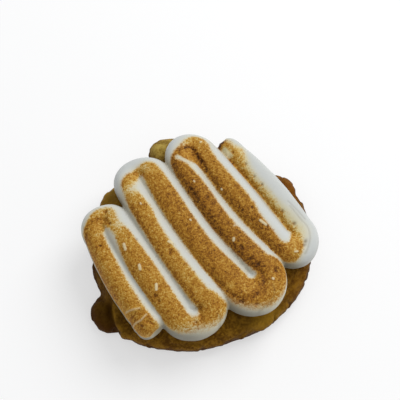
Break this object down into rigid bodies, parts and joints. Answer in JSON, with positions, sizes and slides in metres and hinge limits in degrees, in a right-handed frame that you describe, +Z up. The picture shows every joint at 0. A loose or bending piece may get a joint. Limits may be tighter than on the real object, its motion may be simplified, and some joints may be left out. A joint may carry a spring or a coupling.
{
  "type": "lemon drop cookie",
  "caption": "Thick round drop cookie with a lobed rim, topped with one zig-zag rope of torched meringue.",
  "frame": {"origin": "on the resting plane, under the middle of the whole piece's box", "axes": "+Z up out of the baked underside; the meringue's runs lie at 122 degrees from +X towards +Y, with the rope's cut end at -X -Y and its burnt end at +Y"},
  "size_m": [0.0834, 0.0828, 0.0244],
  "materials": {
    "cookie": "matte",
    "meringue": "satin"
  },
  "bodies": {
    "root": {"cookie": "cookie", "meringue": "meringue"}
  },
  "joints": []
}
